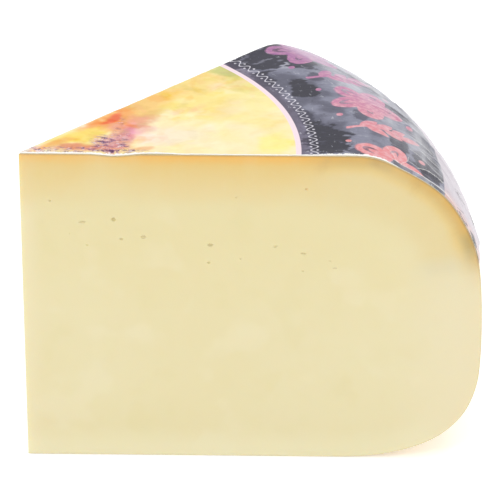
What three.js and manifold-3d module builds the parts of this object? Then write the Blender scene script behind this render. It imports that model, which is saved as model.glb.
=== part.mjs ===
// A wedge cut from a large semi-hard cheese wheel, with the printed sheet that
// covered the wheel's top still on it. Millimetres, +Z up.
//
// The wedge stands on the wheel's underside. Its front cut face lies in a plane
// of constant Y and faces -Y; the centre line of the wheel is its sharp vertical
// edge at the left end of that face. The origin is at the middle of the wedge's
// box, at the level of the underside.

import * as THREE from "three";
import { mergeVertices } from "three/addons/utils/BufferGeometryUtils.js";
import Module from "manifold-3d";

// ---- driving dimensions ----------------------------------------------------
const WHEEL_RADIUS = 173; // largest radius, at the belly of the rim
const CHEESE_HEIGHT = 129.6; // underside to top, without the sheet
const WEDGE_ANGLE = 45.8; // degrees between the two cut faces
const FACET_ANGLE = 2; // degrees of the wheel per facet

// The rim is a rounded belly: two superellipse shoulders with a short upright
// run between them.
const TOP_SHOULDER = { flatRadius: 120.5, beltHeight: 69.8, power: 2.1, steps: 22 };
const FOOT_SHOULDER = { flatRadius: 111.8, beltHeight: 52.8, power: 2.8, steps: 22 };

const SHEET_THICKNESS = 0.32; // printed paper with its clear coating
const SHEET_GAP = 0.06; // glue line between cheese and sheet
const SHEET_RADIUS = 194; // radius of the sheet laid flat, before it folds over the shoulder
const SHEET_STEPS = 34;

// ---- profile of the wheel, as (radius, height) -----------------------------
function shoulder({ flatRadius, power, steps }, from, to) {
  // from: height of the belt, to: height of the flat
  const out = [];
  for (let i = 0; i <= steps; i++) {
    const t = ((i / steps) * Math.PI) / 2; // 0 at the belt, 90 degrees at the flat
    const c = Math.pow(Math.cos(t), 2 / power);
    const s = Math.pow(Math.sin(t), 2 / power);
    out.push([flatRadius + (WHEEL_RADIUS - flatRadius) * c, from + (to - from) * s]);
  }
  return out;
}

const top = shoulder(TOP_SHOULDER, TOP_SHOULDER.beltHeight, CHEESE_HEIGHT);
const foot = shoulder(FOOT_SHOULDER, FOOT_SHOULDER.beltHeight, 0);

// underside centre -> foot -> belt -> shoulder -> top centre
const wheelProfile = [[0, 0], ...foot.slice().reverse(), ...top, [0, CHEESE_HEIGHT]].map(
  ([r, z]) => new THREE.Vector2(Math.max(r, 0), z),
);

// ---- the sheet follows the top and the shoulder, a little outside them -----
const outerLine = [[0, CHEESE_HEIGHT], ...top.slice().reverse()]; // centre to belt

function alongLine(line, distance) {
  let left = distance;
  for (let i = 0; i + 1 < line.length; i++) {
    const [r0, z0] = line[i];
    const [r1, z1] = line[i + 1];
    const length = Math.hypot(r1 - r0, z1 - z0);
    if (left <= length || i + 2 === line.length) {
      const t = left / length;
      return [r0 + (r1 - r0) * t, z0 + (z1 - z0) * t];
    }
    left -= length;
  }
  return line[line.length - 1];
}

function sheetLine(offset) {
  const points = [];
  const flat = TOP_SHOULDER.flatRadius;
  const distances = [0, flat * 0.5, flat];
  for (let i = 1; i <= SHEET_STEPS; i++)
    distances.push(flat + ((SHEET_RADIUS - flat) * i) / SHEET_STEPS);
  const step = 0.25;
  for (const d of distances) {
    const [r, z] = alongLine(outerLine, d);
    let normal = [0, 1];
    if (d > flat) {
      const a = alongLine(outerLine, d - step);
      const b = alongLine(outerLine, d + step);
      const length = Math.hypot(b[0] - a[0], b[1] - a[1]);
      normal = [-(b[1] - a[1]) / length, (b[0] - a[0]) / length];
    }
    points.push(new THREE.Vector2(Math.max(r + normal[0] * offset, 0), z + normal[1] * offset));
  }
  return points;
}

const sheetProfile = [
  ...sheetLine(SHEET_GAP),
  ...sheetLine(SHEET_GAP + SHEET_THICKNESS).reverse(),
];

// ---- solids ----------------------------------------------------------------
const wasm = await Module();
wasm.setup();

function solidOf(geometry) {
  const bare = geometry.index ? geometry.toNonIndexed() : geometry.clone();
  for (const name of Object.keys(bare.attributes))
    if (name !== "position") bare.deleteAttribute(name);
  const merged = mergeVertices(bare, 1e-4);
  return new wasm.Manifold(
    new wasm.Mesh({
      numProp: 3,
      vertProperties: merged.attributes.position.array,
      triVerts: new Uint32Array(merged.index.array),
    }),
  );
}

function geometryOf(solid) {
  const mesh = solid.getMesh();
  const n = mesh.numProp;
  const positions = new Float32Array(mesh.numVert * 3);
  for (let i = 0; i < mesh.numVert; i++)
    positions.set(mesh.vertProperties.subarray(i * n, i * n + 3), i * 3);
  const geometry = new THREE.BufferGeometry()
    .setAttribute("position", new THREE.BufferAttribute(positions, 3))
    .setIndex(new THREE.BufferAttribute(new Uint32Array(mesh.triVerts), 1));
  geometry.computeVertexNormals();
  return geometry;
}

// A full turn about +Z of a profile given as (radius, height).
function turned(profile) {
  return new THREE.LatheGeometry(profile, 360 / FACET_ANGLE)
    .rotateX(Math.PI / 2) // the lathe's axis, +Y, becomes +Z
    .rotateZ(-Math.PI / 2); // a facet edge starts on +X
}

// The knife's two cuts, as a tall prism that opens from the wheel's centre line.
function knifePrism() {
  const reach = WHEEL_RADIUS * 1.6;
  const angle = THREE.MathUtils.degToRad(WEDGE_ANGLE);
  const outline = new THREE.Shape([
    new THREE.Vector2(0, 0),
    new THREE.Vector2(reach, 0),
    new THREE.Vector2(reach * Math.cos(angle), reach * Math.sin(angle)),
  ]);
  return new THREE.ExtrudeGeometry(outline, {
    depth: CHEESE_HEIGHT + 60,
    bevelEnabled: false,
  }).translate(0, 0, -30);
}

const knife = solidOf(knifePrism());
const cheeseSolid = solidOf(turned(wheelProfile)).intersect(knife);
const sheetSolid = solidOf(turned(sheetProfile)).intersect(knife);

// ---- scene graph -----------------------------------------------------------
const cheese = new THREE.Mesh(
  geometryOf(cheeseSolid),
  new THREE.MeshStandardMaterial({ color: 0xecdfae, roughness: 0.5, metalness: 0 }),
);
cheese.name = "cheese";

const topSheet = new THREE.Mesh(
  geometryOf(sheetSolid),
  new THREE.MeshStandardMaterial({ color: 0xb9a892, roughness: 0.3, metalness: 0 }),
);
topSheet.name = "top_label";

// The wheel's centre line stands off the middle of the wedge's box.
const wedge = new THREE.Group();
wedge.add(cheese, topSheet);
wedge.position.set(
  -WHEEL_RADIUS / 2,
  (-WHEEL_RADIUS * Math.sin(THREE.MathUtils.degToRad(WEDGE_ANGLE))) / 2,
  0,
);

const part = new THREE.Group();
part.add(wedge);

export default part;
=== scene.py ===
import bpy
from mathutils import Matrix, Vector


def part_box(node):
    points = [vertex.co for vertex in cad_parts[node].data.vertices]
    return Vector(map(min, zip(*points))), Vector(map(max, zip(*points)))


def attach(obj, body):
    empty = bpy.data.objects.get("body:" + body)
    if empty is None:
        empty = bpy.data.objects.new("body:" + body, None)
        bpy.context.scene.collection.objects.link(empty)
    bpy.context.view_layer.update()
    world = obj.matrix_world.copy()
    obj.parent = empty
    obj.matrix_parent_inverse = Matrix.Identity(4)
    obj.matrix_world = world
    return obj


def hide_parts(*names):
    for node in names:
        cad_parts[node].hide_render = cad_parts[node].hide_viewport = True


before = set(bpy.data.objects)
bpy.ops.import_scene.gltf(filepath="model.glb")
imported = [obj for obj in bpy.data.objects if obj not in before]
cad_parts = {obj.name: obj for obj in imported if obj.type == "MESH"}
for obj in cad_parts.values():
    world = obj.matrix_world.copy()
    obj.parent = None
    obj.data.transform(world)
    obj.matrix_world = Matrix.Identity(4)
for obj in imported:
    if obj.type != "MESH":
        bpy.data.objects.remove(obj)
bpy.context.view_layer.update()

import math

import bpy
import numpy as np
from mathutils import Matrix, Vector
from mathutils.geometry import delaunay_2d_cdt

MM = 0.001

# ---------------------------------------------------------------- the frame
low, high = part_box("cheese")
APEX = np.array([low.x, low.y, 0.0])  # the wheel's centre line, at the wedge's sharp edge
R = (high.x - low.x) / MM  # 173 mm
H = high.z / MM  # 129.6 mm
WEDGE = math.radians(45.8)
SHEET_T = 0.24  # thickness of the printed sheet, mm
PRINT_K = 0.90  # how much light the printed colours give back
SHEET_S = 194.0  # how far the sheet reaches from the wheel's centre, along its own surface


# ---------------------------------------------------------------- helpers, numpy
def lattice(seed):
    return np.random.RandomState(seed).rand(256, 256)


def vnoise(x, y, seed):
    """Smooth value noise, -1 to 1."""
    g = lattice(seed)
    x, y = np.asarray(x, float), np.asarray(y, float)
    xi, yi = np.floor(x).astype(int), np.floor(y).astype(int)
    fx, fy = x - xi, y - yi
    fx, fy = fx**3 * (fx * (fx * 6 - 15) + 10), fy**3 * (fy * (fy * 6 - 15) + 10)
    a, b = g[xi % 256, yi % 256], g[(xi + 1) % 256, yi % 256]
    c, d = g[xi % 256, (yi + 1) % 256], g[(xi + 1) % 256, (yi + 1) % 256]
    return 2 * ((a * (1 - fx) + b * fx) * (1 - fy) + (c * (1 - fx) + d * fx) * fy) - 1


def fnoise(x, y, seed, octaves=3):
    total, amp, top = 0.0, 1.0, 0.0
    for o in range(octaves):
        total = total + amp * vnoise(x * 2**o + 7.3 * o, y * 2**o + 3.1 * o, seed + o)
        top += amp
        amp *= 0.5
    return total / top


def step(lo, hi, x):
    t = np.clip((np.asarray(x, float) - lo) / (hi - lo), 0, 1)
    return t * t * (3 - 2 * t)


# ---------------------------------------------------------------- the wheel's outline
# (radius, height) as shares of the wheel's radius, from the middle of the top,
# over the shoulder and the rim, to the middle of the underside.
OUTLINE = np.array(
    [
        (0.0, 0.7491), (0.15, 0.7491), (0.30, 0.7491), (0.45, 0.7491), (0.60, 0.7491),
        (0.70, 0.7491), (0.742, 0.7482), (0.775, 0.7418), (0.82, 0.7195), (0.868, 0.6915),
        (0.908, 0.6605), (0.934, 0.629), (0.957, 0.590), (0.978, 0.543), (0.9915, 0.488),
        (0.9975, 0.42), (0.9995, 0.34), (0.998, 0.26), (0.9915, 0.19), (0.972, 0.13),
        (0.950, 0.095), (0.908, 0.055), (0.856, 0.028), (0.80, 0.0112), (0.75, 0.003),
        (0.70, 0.0), (0.60, 0.0), (0.45, 0.0), (0.30, 0.0), (0.15, 0.0), (0.0, 0.0),
    ]
) * R  # fmt: skip


def catmull(points, per=40):
    p = np.vstack([2 * points[0] - points[1], points, 2 * points[-1] - points[-2]])
    out = []
    for i in range(1, len(p) - 2):
        p0, p1, p2, p3 = p[i - 1 : i + 3]
        d = [max(np.linalg.norm(b - a) ** 0.5, 1e-6) for a, b in ((p0, p1), (p1, p2), (p2, p3))]
        t0, t1 = 0.0, d[0]
        t2, t3 = t1 + d[1], t1 + d[1] + d[2]
        for t in np.linspace(t1, t2, per, endpoint=False):
            a1 = (t1 - t) / (t1 - t0) * p0 + (t - t0) / (t1 - t0) * p1
            a2 = (t2 - t) / (t2 - t1) * p1 + (t - t1) / (t2 - t1) * p2
            a3 = (t3 - t) / (t3 - t2) * p2 + (t - t2) / (t3 - t2) * p3
            b1 = (t2 - t) / (t2 - t0) * a1 + (t - t0) / (t2 - t0) * a2
            b2 = (t3 - t) / (t3 - t1) * a2 + (t - t1) / (t3 - t1) * a3
            out.append((t2 - t) / (t2 - t1) * b1 + (t - t1) / (t2 - t1) * b2)
    out.append(points[-1])
    return np.array(out)


def smoothed_outline():
    raw = catmull(OUTLINE)
    run = np.r_[0, np.cumsum(np.hypot(*np.diff(raw, axis=0).T))]
    s = np.linspace(0, run[-1], 2400)
    rz = np.stack([np.interp(s, run, raw[:, i]) for i in (0, 1)], 1)
    width = 2.2 / (s[1] - s[0])  # mm
    k = np.exp(-0.5 * (np.arange(-60, 61) / width) ** 2)
    k /= k.sum()
    for i in (0, 1):
        ends = np.r_[
            2 * rz[0, i] - rz[60:0:-1, i] if i == 0 else rz[60:0:-1, i],
            rz[:, i],
            2 * rz[-1, i] - rz[-2:-62:-1, i] if i == 0 else rz[-2:-62:-1, i],
        ]
        rz[:, i] = np.convolve(ends, k, "valid")
    rz[:, 1] = np.clip(rz[:, 1], 0, H)
    rz[:, 0] = np.clip(rz[:, 0], 0, R)
    rz[0] = (0, H)
    rz[-1] = (0, 0)
    run = np.r_[0, np.cumsum(np.hypot(*np.diff(rz, axis=0).T))]
    return run, rz


RUN, RZ = smoothed_outline()
LENGTH = RUN[-1]
_tan = np.gradient(RZ, RUN, axis=0)
_tan /= np.linalg.norm(_tan, axis=1)[:, None]
_nor = np.stack([-_tan[:, 1], _tan[:, 0]], 1)  # points out of the cheese


def outline(s):
    s = np.asarray(s, float)
    return np.stack([np.interp(s, RUN, RZ[:, i]) for i in (0, 1)], -1)


def outline_normal(s):
    s = np.asarray(s, float)
    n = np.stack([np.interp(s, RUN, _nor[:, i]) for i in (0, 1)], -1)
    return n / np.linalg.norm(n, axis=-1, keepdims=True)


def place(points):
    """Wheel frame in mm to the row frame in metres."""
    return np.asarray(points, float) * MM + APEX


def add_mesh(name, verts, faces, attributes=(), smooth=True):
    mesh = bpy.data.meshes.new(name)
    mesh.from_pydata([tuple(v) for v in verts], [], [tuple(int(i) for i in f) for f in faces])
    for key, values in dict(attributes).items():
        values = np.asarray(values, np.float32)
        if values.ndim == 1:
            mesh.attributes.new(key, "FLOAT", "POINT").data.foreach_set("value", values)
        else:
            mesh.attributes.new(key, "FLOAT_VECTOR", "POINT").data.foreach_set(
                "vector", values.ravel()
            )
    if smooth:
        mesh.polygons.foreach_set("use_smooth", np.ones(len(mesh.polygons), bool))
    mesh.validate()
    mesh.update()
    ob = bpy.data.objects.new(name, mesh)
    bpy.context.scene.collection.objects.link(ob)
    return ob


def zip_rows(a, ta, b, tb, flip=False):
    """Triangles between two rows of vertices, whose places along the row are ta and tb, 0 to 1."""
    faces, i, j = [], 0, 0
    while i < len(a) - 1 or j < len(b) - 1:
        if j == len(b) - 1 or (i < len(a) - 1 and ta[i + 1] <= tb[j + 1]):
            f = (a[i], b[j], a[i + 1])
            i += 1
        else:
            f = (a[i], b[j], b[j + 1])
            j += 1
        faces.append(f[::-1] if flip else f)
    return faces


# ---------------------------------------------------------------- the cheese
EDGE = 0.4  # how far a cut edge's rounding reaches, mm

# Small eyes in the two cut faces: (x, z, half width, half height, depth, tilt) in mm.
# x runs from the sharp edge to the rim, z up from the underside.
FRONT_EYES = [
    (34.9, 102.2, 1.00, 0.95, 1.45, 0.2),
    (37.6, 93.9, 0.80, 0.60, 0.85, -0.2),
    (45.9, 94.9, 1.20, 0.78, 1.10, 0.1),
    (23.1, 101.0, 1.55, 0.36, 0.85, 0.05),
    (24.8, 91.3, 0.50, 0.38, 0.40, 0.0),
    (70.9, 91.7, 1.30, 0.66, 1.20, -0.05),
    (70.3, 84.2, 0.72, 0.52, 0.75, 0.3),
    (82.3, 86.0, 0.52, 0.40, 0.48, 0.0),
    (95.3, 91.3, 0.85, 0.46, 0.62, 0.3),
    (105.8, 88.4, 1.35, 0.36, 0.80, -0.1),
    (105.5, 81.0, 0.55, 0.42, 0.40, 0.0),
    (115.8, 85.4, 0.50, 0.36, 0.26, 0.1),
    (117.5, 82.3, 1.00, 0.36, 0.50, -0.1),
    (106.9, 115.7, 0.62, 0.45, 0.72, 0.0),
    (11.3, 109.9, 0.50, 0.45, 0.62, 0.2),
    (18.4, 96.0, 0.45, 0.34, 0.24, 0.0),
    (80.8, 112.0, 0.42, 0.40, 0.28, 0.3),
]
BACK_EYES = [
    (41.0, 84.0, 1.10, 0.60, 1.0, 0.15),
    (47.5, 79.0, 0.70, 0.85, 1.0, 0.3),
    (66.0, 93.0, 1.30, 0.70, 1.2, -0.2),
    (69.5, 88.5, 0.65, 0.50, 0.7, 0.0),
    (92.0, 71.5, 1.40, 0.40, 0.8, 0.1),
    (98.0, 97.5, 0.60, 0.50, 0.7, 0.0),
    (112.0, 82.0, 1.05, 0.80, 1.1, 0.25),
    (121.0, 66.0, 0.60, 0.45, 0.6, -0.1),
    (55.0, 50.5, 0.80, 0.50, 0.8, 0.2),
    (83.0, 37.5, 0.55, 0.40, 0.5, 0.0),
    (132.0, 95.0, 0.70, 0.40, 0.6, 0.3),
    (22.0, 102.0, 0.50, 0.35, 0.5, 0.1),
    (78.5, 108.0, 0.60, 0.40, 0.5, -0.3),
    (28.5, 61.0, 0.75, 0.45, 0.7, 0.1),
]


FRONT_EYES, BACK_EYES = (
    [(x, z, 0.88 * w, 0.88 * h, 0.55 * d, t) for x, z, w, h, d, t in eyes] for eyes in (FRONT_EYES, BACK_EYES)
)


def row_places(arc, seg):
    """Places along a row of the turned surface, in mm, with close ones next to the cuts."""
    if arc < 3.0:
        return np.linspace(0, arc, max(2, int(arc / 0.7) + 1))
    n = max(1, int(round((arc - 2 * EDGE) / seg)))
    return np.r_[0, np.linspace(EDGE, arc - EDGE, n + 1), arc]


def turned_rows():
    """The rows' arc lengths from the middle of the top to the middle of the underside."""
    top_end, foot = 118.0, np.interp(-0.72 * R, -RZ[1400:, 0], RUN[1400:])
    a = np.linspace(0, top_end, 60)
    b = np.linspace(top_end, foot, int((foot - top_end) / 0.95))
    c = np.linspace(foot, LENGTH, 54)
    return np.r_[a, b[1:], c[1:]]


def inset(loop, by):
    """loop, clockwise or not, moved into its own inside by a distance."""
    ahead, behind = np.roll(loop, -1, 0), np.roll(loop, 1, 0)
    e1 = loop - behind
    e2 = ahead - loop
    e1 /= np.linalg.norm(e1, axis=1)[:, None]
    e2 /= np.linalg.norm(e2, axis=1)[:, None]
    area = 0.5 * np.sum(loop[:, 0] * ahead[:, 1] - ahead[:, 0] * loop[:, 1])
    side = 1.0 if area > 0 else -1.0
    n1, n2 = side * np.stack([-e1[:, 1], e1[:, 0]], 1), side * np.stack([-e2[:, 1], e2[:, 0]], 1)
    n = n1 + n2
    n /= np.linalg.norm(n, axis=1)[:, None]
    return loop + n * (by / np.clip((n * n1).sum(1), 0.5, 1))[:, None]


def edge_distance(points):
    """Distance in mm from points (x, z) of a cut face to the wheel's outside, and where along it."""
    best = np.full(len(points), 1e9)
    at = np.zeros(len(points))
    s = np.linspace(0, LENGTH, 1500)
    line = outline(s)
    for k in range(0, len(points), 4000):
        d = np.linalg.norm(points[k : k + 4000, None] - line[None], axis=2)
        i = d.argmin(1)
        best[k : k + 4000], at[k : k + 4000] = d[np.arange(len(i)), i], s[i]
    return best, at


def make_cheese():
    verts, faces = [], []
    skin, depth, along = [], [], []  # attributes: outside or cut face, distance to the outside, where
    rows, arcs = [], []
    s_rows = turned_rows()
    for s in s_rows:
        r, z = outline(s)
        arc = r * WEDGE
        if r < 1e-6:
            t = np.array([0.0])
        else:
            t = row_places(arc, 2.4 if (s < 118 or s > LENGTH - 110) else 1.0)
        phi = t / r if r > 1e-6 else np.array([WEDGE / 2])
        ids = list(range(len(verts), len(verts) + len(t)))
        for a in phi:
            verts.append((r * math.cos(a), r * math.sin(a), z))
            skin.append(1.0)
            depth.append(0.0)
            along.append(s)
        rows.append(ids)
        arcs.append(t / arc if arc > 0 else np.array([0.5]))
    for k in range(len(rows) - 1):
        a, b = rows[k], rows[k + 1]
        if len(a) == 1:
            faces += [(a[0], b[j], b[j + 1]) for j in range(len(b) - 1)]
        elif len(b) == 1:
            faces += [(a[j], b[0], a[j + 1]) for j in range(len(a) - 1)]
        else:
            faces += zip_rows(a, arcs[k], b, arcs[k + 1])

    # The sharp vertical edge, shared by both cut faces, from underside to top.
    edge_z = np.linspace(0, H, 92)[1:-1]
    edge_ids = list(range(len(verts), len(verts) + len(edge_z)))
    for z in edge_z:
        verts.append((0.0, 0.0, z))
        skin.append(0.0)
        depth.append(min(H - z, z))
        along.append(0.0 if z > H / 2 else LENGTH)

    def cut_face(which, eyes):
        border_ids = [r[0] if which == "front" else r[-1] for r in rows] + edge_ids
        border = np.vstack([outline(s_rows), np.stack([0 * edge_z, edge_z], 1)])
        one, two = inset(border, EDGE), inset(border, 1.25)
        keep1 = one[(one[:, 0] > EDGE * 0.8)]
        keep2 = two[(two[:, 0] > 1.0)]
        # A hexagonal grid fills the face.
        pitch = 1.9
        gx = np.arange(0.5 * pitch, R, pitch)
        gz = np.arange(0.5 * pitch, H, pitch * 0.866)
        grid = np.array([(x + (0.5 * pitch if j % 2 else 0), z) for j, z in enumerate(gz) for x in gx])
        inside_r = np.interp(-grid[:, 1], -RZ[:, 1][RZ[:, 0] > 0.65 * R], RZ[:, 0][RZ[:, 0] > 0.65 * R])
        grid = grid[(grid[:, 0] > 2.4) & (grid[:, 0] < inside_r - 1.5)]
        d, _ = edge_distance(grid)
        grid = grid[d > 2.3]
        pts = [grid]
        for cx, cz, w, h, dep, tilt in eyes:
            c, s_ = math.cos(tilt), math.sin(tilt)
            rings = []
            q = (grid := pts[0]) - (cx, cz)
            u, v = (q[:, 0] * c + q[:, 1] * s_) / w, (-q[:, 0] * s_ + q[:, 1] * c) / h
            reach = 1.0 + 1.3 / np.hypot(w * u, h * v).clip(0.4) * 1.0
            pts[0] = grid[np.hypot(u * w / (w + 1.1), v * h / (h + 1.1)) > 1.0]
            for f, n in ((0.0, 1), (0.35, 6), (0.62, 10), (0.84, 14), (1.0, 16), (1.2, 16), (1.5, 14)):
                for k in range(n):
                    a = 2 * math.pi * (k + 0.5 * (n % 4)) / n
                    grow = 0.25 * max(f - 1, 0)
                    x, z = (w * f + grow) * math.cos(a), (h * f + grow) * math.sin(a)
                    rings.append((cx + x * c - z * s_, cz + x * s_ + z * c))
            pts.append(np.array(rings))
        inner = np.vstack([keep1, keep2] + pts)
        co = np.vstack([border, inner])
        n = len(border)
        got, _, tris, origin, _, _ = delaunay_2d_cdt(
            [Vector(p) for p in co], [(i, (i + 1) % n) for i in range(n)], [], 1, 1e-5
        )
        start = len(verts)
        index = {}
        new = []
        for k, src in enumerate(origin):
            b = [i for i in src if i < n]
            if b:
                index[k] = border_ids[b[0]]
            else:
                index[k] = start + len(new)
                new.append(got[k])
        new = np.array([tuple(p) for p in new])
        a = 0.0 if which == "front" else WEDGE
        d, at = edge_distance(new)
        # How far the eyes and the knife's slight waver move the face, along its normal.
        push = 0.16 * fnoise(new[:, 0] / 55, new[:, 1] / 40, 11 if a == 0 else 31, 2)
        push += 0.035 * fnoise(new[:, 0] / 14, new[:, 1] / 9, 15 if a == 0 else 35, 2)
        push *= step(0.0, 6.0, np.minimum(d, new[:, 0]))
        hole = np.zeros(len(new))
        for cx, cz, w, h, dep, tilt in eyes:
            c, s_ = math.cos(tilt), math.sin(tilt)
            q = new - (cx, cz)
            u, v = (q[:, 0] * c + q[:, 1] * s_) / w, (-q[:, 0] * s_ + q[:, 1] * c) / h
            rr = np.hypot(u, v)
            bowl = np.sqrt(np.clip(1 - rr**2, 0, 1))
            hole = np.maximum(hole, dep * bowl)
            push += 0.05 * np.exp(-(((rr - 1.15) / 0.25) ** 2))
        push = push - hole
        out = np.array([0.0, -1.0, 0.0]) if a == 0 else np.array([-math.sin(a), math.cos(a), 0.0])
        along_dir = np.array([math.cos(a), math.sin(a), 0.0])
        for (x, z), p, dd, ss in zip(new, push, d, at):
            verts.append(tuple(along_dir * x + np.array([0, 0, z]) + out * p))
            skin.append(0.0)
            depth.append(dd)
            along.append(ss)
        for f in tris:
            f = [index[i] for i in f]
            if len(set(f)) < 3:
                continue
            va, vb, vc = (np.array(verts[i]) for i in f)
            if np.dot(np.cross(vb - va, vc - va), out) < 0:
                f = f[::-1]
            faces.append(tuple(f))

    cut_face("front", FRONT_EYES)
    cut_face("back", BACK_EYES)

    co = np.array(verts)
    skin, depth, along = np.array(skin), np.array(depth), np.array(along)

    # Round the cut edges: pull each vertex of an edge a little into the cheese.
    front = np.array([r[0] for r in rows if len(r) > 1])
    back = np.array([r[-1] for r in rows if len(r) > 1])
    ends = np.array([rows[0][0], rows[-1][0]])
    bisector = np.array([math.cos(WEDGE / 2), math.sin(WEDGE / 2), 0.0])
    mid_normal = np.zeros_like(co)
    n2 = outline_normal(along)
    a = np.arctan2(co[:, 1], co[:, 0])
    mid_normal[:, 0], mid_normal[:, 1], mid_normal[:, 2] = n2[:, 0] * np.cos(a), n2[:, 0] * np.sin(a), n2[:, 1]
    pull = 0.13
    co[front] += pull * (-mid_normal[front] + np.array([0.0, 1.0, 0.0]))
    co[back] += pull * (-mid_normal[back] + np.array([math.sin(WEDGE), -math.cos(WEDGE), 0.0]))
    co[edge_ids] += 0.14 * bisector
    co[ends] += 0.14 * bisector + np.array([[0, 0, -pull], [0, 0, pull]])

    # The rind isn't perfectly turned: broad soft waves, and small dints on the rim.
    on = (skin > 0.5) & (n2[:, 0] > 0.02)
    t = a * R
    side = step(0.02, 0.5, n2[:, 0])
    wave = 0.32 * fnoise(along / 34, t / 40, 51, 2) + 0.07 * fnoise(along / 7, t / 9, 55, 2) - 0.25
    wave -= 0.22 * step(0.55, 0.85, vnoise(along / 3.6, t / 3.9, 59))
    near_cut = step(0.0, 5.0, np.minimum(a, WEDGE - a) * co[:, 0].clip(1))
    wave = np.where(on, wave * side * near_cut, 0.0)
    co += mid_normal * wave[:, None]

    # A shallow scoop in the front top edge, where the sheet sags over a chip.
    scoop = 0.9 * np.exp(-(((co[:, 0] - 35.5) / 6.0) ** 2)) * step(6.0, 0.0, co[:, 1]) * step(H - 2.5, H, co[:, 2])
    co[:, 2] -= scoop

    ob = add_mesh(
        "cheese_body",
        place(co),
        faces,
        {
            "skin": skin,
            "depth": depth,
            "along": along,
            "phi": a,
            "reach": np.hypot(co[:, 0], co[:, 1]),
            "knife": np.minimum(a, WEDGE - a).clip(0) * np.hypot(co[:, 0], co[:, 1]),
        },
    )
    return ob


# ---------------------------------------------------------------- colours
def linear(*rgb):
    """0-255 screen colour to the shader's own."""
    out = []
    for c in rgb:
        c = c / 255
        out.append(c / 12.92 if c <= 0.04045 else ((c + 0.055) / 1.055) ** 2.4)
    return (*out, 1.0)


def shade(*rgb, k=0.815):
    """A colour as it should look in this light, as a surface colour."""
    return (*(c * k for c in linear(*rgb)[:3]), 1.0)


# ---------------------------------------------------------------- the print, painted point by point
# The places in the print are in wheel radii: s along the sheet from the middle
# of the wheel, x and y in the sheet laid flat, and degrees round from the front cut.
def over(c, colour, amount):
    return c + (np.asarray(colour, float) - c) * np.clip(amount, 0, 1)[..., None]


# Soft clouds of the warm wash: colour, x, y, half length, half width, tilt, strength.
CLOUDS = [
    ((247, 219, 132), 0.33, 0.285, 0.22, 0.065, 45, 0.95),
    ((248, 202, 118), 0.25, 0.215, 0.12, 0.055, 40, 0.9),
    ((254, 230, 138), 0.385, 0.235, 0.09, 0.045, 20, 0.8),
    ((242, 216, 152), 0.450, 0.215, 0.075, 0.030, 62, 0.45),
    ((254, 234, 212), 0.300, 0.085, 0.12, 0.050, 5, 0.8),
    ((253, 240, 200), 0.46, 0.080, 0.12, 0.060, 0, 0.6),
    ((252, 242, 144), 0.560, 0.055, 0.040, 0.055, 0, 0.8),
    ((250, 236, 150), 0.500, 0.260, 0.060, 0.070, 20, 0.5),
    ((196, 202, 120), 0.430, 0.402, 0.075, 0.026, -35, 0.8),
    ((232, 218, 130), 0.480, 0.330, 0.060, 0.035, -55, 0.5),
    ((248, 168, 92), 0.175, 0.150, 0.085, 0.034, 42, 0.95),
    ((236, 166, 132), 0.232, 0.150, 0.060, 0.032, 20, 0.9),
    ((240, 184, 170), 0.245, 0.118, 0.050, 0.026, 15, 0.75),
    ((243, 112, 66), 0.186, 0.172, 0.030, 0.011, 48, 0.9),
    ((252, 222, 112), 0.125, 0.086, 0.062, 0.030, 38, 1.0),
    ((240, 178, 96), 0.070, 0.044, 0.070, 0.016, 32, 0.75),
    ((222, 134, 92), 0.150, 0.034, 0.070, 0.020, 6, 0.85),
    ((226, 150, 160), 0.205, 0.080, 0.030, 0.050, -20, 0.7),
    ((238, 170, 120), 0.262, 0.022, 0.035, 0.014, 0, 0.6),
]
# How a stroke of the brush may change what it crosses.
STROKES = [(6, 8, 20), (2, -6, -32), (-2, -18, -26), (2, -10, 4), (-12, -12, -12), (4, 6, 2), (-6, -4, -24)]


def wash_colour(x, y):
    wx = x + 0.030 * fnoise(x * 9, y * 9, 201, 3)
    wy = y + 0.030 * fnoise(x * 9 + 40, y * 9, 205, 3)
    tone = fnoise(wx * 8, wy * 12, 209, 4)
    c = np.tile((254.0, 239.0, 182.0), (len(x), 1))
    c = over(c, (255, 244, 210), step(0.02, 0.45, tone))
    c = over(c, (251, 230, 146), 0.60 * step(-0.05, -0.45, tone))
    rough = 0.45 * fnoise(x * 52, y * 78, 213, 3)
    for colour, x0, y0, along, across, tilt, amount in CLOUDS:
        ct, st = math.cos(math.radians(tilt)), math.sin(math.radians(tilt))
        u, v = ((wx - x0) * ct + (wy - y0) * st) / along, (-(wx - x0) * st + (wy - y0) * ct) / across
        c = over(c, colour, amount * step(1.5, 0.2, u * u + v * v + rough))
    rs = np.random.RandomState(217)
    bristle = fnoise(x * 150, y * 150, 221, 2)
    for _ in range(420):
        r0, p0 = 0.63 * rs.rand() ** 0.5, rs.rand() * WEDGE
        x0, y0 = r0 * math.cos(p0), r0 * math.sin(p0)
        t = math.radians(28 + 40 * rs.randn())
        busy = math.exp(-(((x0 - 0.12) / 0.20) ** 2)) + 0.6 * math.exp(-(((y0 - 0.78 * x0) / 0.10) ** 2))
        long_, wide = 0.012 + 0.034 * rs.rand(), 0.006 + 0.013 * rs.rand()
        shift, amount = STROKES[rs.randint(len(STROKES))], (0.10 + 0.55 * rs.rand()) * (0.35 + min(busy, 1.0))
        near = (np.abs(x - x0) < long_) & (np.abs(y - y0) < long_)
        if not near.any():
            continue
        dx, dy = x[near] - x0, y[near] - y0
        u, v = (dx * math.cos(t) + dy * math.sin(t)) / long_, (-dx * math.sin(t) + dy * math.cos(t)) / wide
        c[near] += np.array(shift) * (amount * step(1.15, 0.30, u * u + v * v + 0.4 * bristle[near]))[:, None]
    return np.clip(c, 0, 255)


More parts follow.
